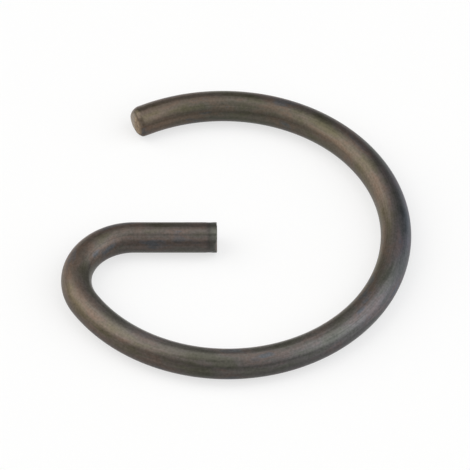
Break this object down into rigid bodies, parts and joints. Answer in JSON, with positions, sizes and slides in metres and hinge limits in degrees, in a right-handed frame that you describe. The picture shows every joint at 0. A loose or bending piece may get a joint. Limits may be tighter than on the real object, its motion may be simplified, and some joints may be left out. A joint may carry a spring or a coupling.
{
  "type": "piston pin clip",
  "caption": "Open ring of round spring wire whose end turns in to the centre as a tang. It snaps into a groove and keeps a piston pin in its bore.",
  "frame": {"origin": "centre of the ring, on the middle plane of the wire", "axes": "+Z along the ring's axis, +X the way that the tang points, away from the bend"},
  "size_m": [0.0182, 0.0195, 0.0016],
  "materials": {
    "spring_steel": "dull oxide film on drawn spring wire"
  },
  "bodies": {
    "root": {"pin_clip": "spring_steel"}
  },
  "joints": []
}
